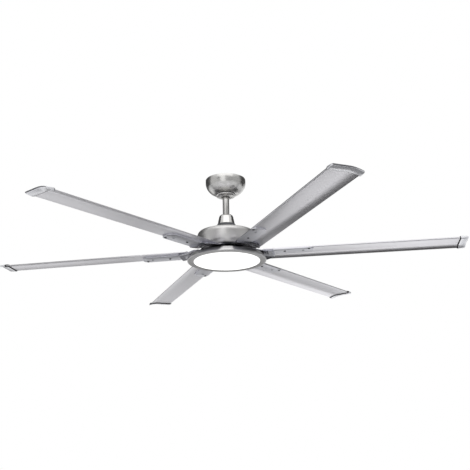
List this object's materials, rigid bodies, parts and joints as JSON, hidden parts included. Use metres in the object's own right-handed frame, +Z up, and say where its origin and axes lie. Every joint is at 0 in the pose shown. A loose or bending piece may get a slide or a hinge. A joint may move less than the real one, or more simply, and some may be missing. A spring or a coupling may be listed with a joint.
{
  "type": "ceiling fan",
  "caption": "Ceiling fan on a short rod, with long straight silver blades, a bowl-shaped canopy and motor housing, and a flat round light underneath.",
  "frame": {"origin": "centre of the ceiling plate's top face, in the ceiling plane, on the fan's axis", "axes": "+Z up into the ceiling; +X along blade 1; seen from above, each blade's leading edge is on its clockwise side"},
  "size_m": [1.8332, 1.665, 0.342],
  "materials": {
    "satin_nickel": "satin nickel plate, clear lacquer",
    "silver_blade": "satin silver anodised extrusion",
    "silver_cap": "moulded cap, silver paint",
    "silver_cast": "die-cast, satin silver paint",
    "bracket_steel": "pressed steel, satin grey paint",
    "black_metal": "steel, matte black paint",
    "zinc_steel": "bright zinc plate",
    "rod_steel": "satin nickel plated tube",
    "black_plastic": "moulded, fine grain",
    "black_rubber": "smooth sleeve",
    "copper_wire": "enamelled copper wire",
    "core_steel": "stacked steel sheets, varnished",
    "ferrite": "sintered, dull",
    "white_board": "white solder resist on aluminium",
    "opal_lens": "opal acrylic, smooth"
  },
  "bodies": {
    "ceiling_mount": {"ceiling_plate": "zinc_steel", "hanger_strap": "zinc_steel", "strap_screw_1": "zinc_steel", "strap_screw_2": "zinc_steel", "receiver": "black_plastic"},
    "canopy": {"canopy": "satin_nickel", "canopy_cover": "satin_nickel", "canopy_screw_1": "zinc_steel", "canopy_screw_2": "zinc_steel"},
    "hanger": {"hanger_ball": "black_plastic", "ball_pin": "zinc_steel", "ball_set_screw": "zinc_steel", "downrod": "rod_steel", "rod_pin": "zinc_steel", "rod_clip": "zinc_steel", "motor_yoke": "zinc_steel", "yoke_set_screw": "zinc_steel", "coupling_cover": "satin_nickel", "motor_housing": "satin_nickel", "housing_screw_1": "zinc_steel", "housing_screw_2": "zinc_steel", "housing_screw_3": "zinc_steel", "motor_shaft": "zinc_steel", "upper_bearing": "zinc_steel", "lower_bearing": "zinc_steel", "stator_core": "core_steel", "stator_windings": "copper_wire", "lead_cable": "black_rubber", "light_adapter": "black_metal", "shaft_nut": "zinc_steel", "led_driver": "black_plastic", "light_pan": "satin_nickel", "pan_screw_1": "zinc_steel", "pan_screw_2": "zinc_steel", "pan_screw_3": "zinc_steel", "led_board": "white_board", "trim_ring": "satin_nickel", "diffuser": "opal_lens"},
    "rotor": {"rotor_shell_top": "silver_cast", "magnet_ring": "ferrite", "rotor_shell_bottom": "silver_cast", "hub_ring": "silver_cast", "blade_bracket_1": "bracket_steel", "blade_bracket_2": "bracket_steel", "blade_bracket_3": "bracket_steel", "blade_bracket_4": "bracket_steel", "blade_bracket_5": "bracket_steel", "blade_bracket_6": "bracket_steel", "blade_1": "silver_blade", "blade_2": "silver_blade", "blade_3": "silver_blade", "blade_4": "silver_blade", "blade_5": "silver_blade", "blade_6": "silver_blade", "blade_cap_1": "silver_cap", "blade_cap_2": "silver_cap", "blade_cap_3": "silver_cap", "blade_cap_4": "silver_cap", "blade_cap_5": "silver_cap", "blade_cap_6": "silver_cap"}
  },
  "joints": [
    {"name": "fan_spin", "type": "hinge", "parent": "hanger", "child": "rotor", "pos_m": [0, 0, -0.25], "axis": [0, 0, 1], "continuous": true},
    {"name": "hanger_swing", "type": "hinge", "parent": "ceiling_mount", "child": "hanger", "pos_m": [0, 0, -0.043], "axis": [1, 0, 0], "range_deg": [-1.5, 1.5]},
    {"name": "canopy_slide", "type": "slide", "parent": "ceiling_mount", "child": "canopy", "axis": [0, 0, 1], "range_m": [-0.07, 0]}
  ]
}
